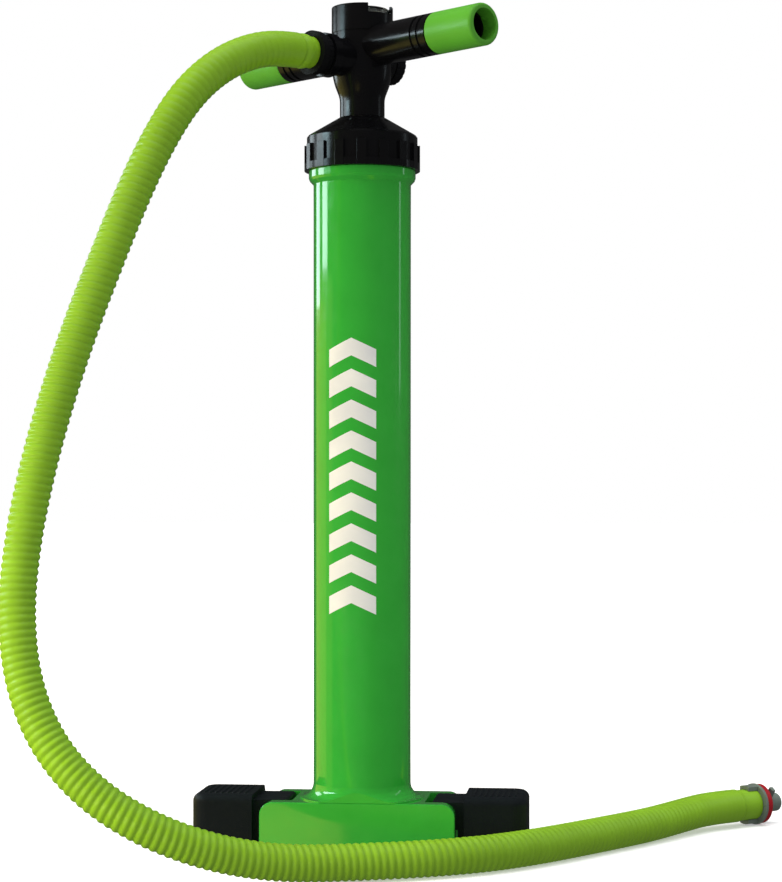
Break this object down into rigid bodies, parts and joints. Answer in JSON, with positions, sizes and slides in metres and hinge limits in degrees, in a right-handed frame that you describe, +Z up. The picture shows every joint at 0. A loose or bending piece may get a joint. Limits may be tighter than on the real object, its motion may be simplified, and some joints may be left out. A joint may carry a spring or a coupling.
{
  "type": "double action hand pump",
  "caption": "Upright air pump: barrel on a base with fold-up feet, T handle with pressure gauge, and a corrugated hose that ends in a bayonet nozzle.",
  "frame": {"origin": "on the floor, under the barrel's axis, in the middle of the base", "axes": "+Z up along the barrel, X along the two feet, -Y the front, where the hose lies"},
  "size_m": [0.5689, 0.4029, 0.6577],
  "materials": {
    "green_shell": "glossy moulded, light mould draft lines",
    "green_grip": "soft satin sleeve",
    "foot_black": "fine grained matte",
    "black_plastic": "satin",
    "black_gloss": "polished",
    "black_rubber": "matte",
    "red_rubber": "satin",
    "white_plastic": "natural moulded",
    "steel": "zinc plated",
    "rod_metal": "drawn and anodised",
    "brass": "plain",
    "hose_green": "satin, corrugated",
    "nozzle_grey": "fine grained",
    "dial_white": "printed",
    "clear_lens": "clear moulded",
    "needle_red": "painted"
  },
  "bodies": {
    "base": {"base_body": "green_shell", "sole_pads": "black_rubber", "base_plate": "black_plastic", "base_screws": "steel", "hinge_pin_left": "steel", "hinge_pin_right": "steel", "barrel_tube": "green_shell", "foot_valve_seat": "white_plastic", "seat_gasket": "black_rubber", "barrel_cap": "black_gloss", "cap_flap_ring": "black_rubber", "cap_gasket": "black_rubber", "rod_bush": "white_plastic", "rod_wiper": "black_rubber"},
    "left_foot": {"foot_left": "foot_black", "foot_left_tread": "black_rubber"},
    "right_foot": {"foot_right": "foot_black", "foot_right_tread": "black_rubber"},
    "foot_valve": {"foot_valve_disc": "red_rubber"},
    "hose_line": {"hose_tube": "hose_green", "hose_cuff_end": "hose_green"},
    "nozzle": {"nozzle_body": "nozzle_grey", "nozzle_collar": "nozzle_grey", "nozzle_seal": "red_rubber"},
    "handle": {"handle_hub": "black_gloss", "piston_rod": "rod_metal", "inner_air_tube": "white_plastic", "piston_body": "black_plastic", "piston_seal": "black_rubber", "piston_bumper": "black_rubber", "piston_nut": "white_plastic", "valve_cage": "white_plastic", "grip_left": "green_grip", "grip_right": "green_grip", "gauge_housing": "black_gloss", "gauge_capsule": "brass", "gauge_dial": "dial_white", "gauge_lens": "clear_lens", "hose_port_seal": "black_rubber", "hose_cuff_port": "hose_green"},
    "needle": {"gauge_needle": "needle_red"},
    "selector": {"selector_knob": "black_plastic", "selector_seal": "black_rubber"},
    "hose_nut": {"coupling_nut": "black_plastic"},
    "ball_valve": {"outlet_ball": "steel"}
  },
  "joints": [
    {"name": "handle_turn", "type": "hinge", "parent": "base", "child": "hose_line", "pos_m": [0, 0, 0.5], "axis": [0, 0, 1], "range_deg": [-45, 45]},
    {"name": "rod_slide", "type": "slide", "parent": "hose_line", "child": "handle", "axis": [0, 0, 1], "range_m": [0, 0.47], "deforming": ["hose_tube"]},
    {"name": "left_foot_fold", "type": "hinge", "parent": "base", "child": "left_foot", "pos_m": [-0.068, 0, 0.028], "axis": [0, 1, 0], "range_deg": [0, 90]},
    {"name": "right_foot_fold", "type": "hinge", "parent": "base", "child": "right_foot", "pos_m": [0.068, 0, 0.028], "axis": [0, -1, 0], "range_deg": [0, 90]},
    {"name": "foot_valve_lift", "type": "slide", "parent": "base", "child": "foot_valve", "axis": [0, 0, 1], "range_m": [0, 0.0025]},
    {"name": "ball_lift", "type": "slide", "parent": "handle", "child": "ball_valve", "axis": [0, 0, 1], "range_m": [0, 0.004]},
    {"name": "needle_turn", "type": "hinge", "parent": "handle", "child": "needle", "pos_m": [0, 0, 0.65], "axis": [0, 0, -1], "range_deg": [0, 270]},
    {"name": "selector_turn", "type": "hinge", "parent": "handle", "child": "selector", "pos_m": [0, 0, 0.616], "axis": [-0.6561, -0.7547, 0], "range_deg": [0, 90]},
    {"name": "hose_nut_turn", "type": "hinge", "parent": "handle", "child": "hose_nut", "pos_m": [0, 0, 0.616], "axis": [-0.6561, -0.7547, 0], "range_deg": [0, 60]},
    {"name": "nozzle_turn", "type": "hinge", "parent": "hose_line", "child": "nozzle", "pos_m": [0.296, 0.1323, 0.017], "axis": [0.7872, 0.6167, 0], "continuous": true}
  ]
}
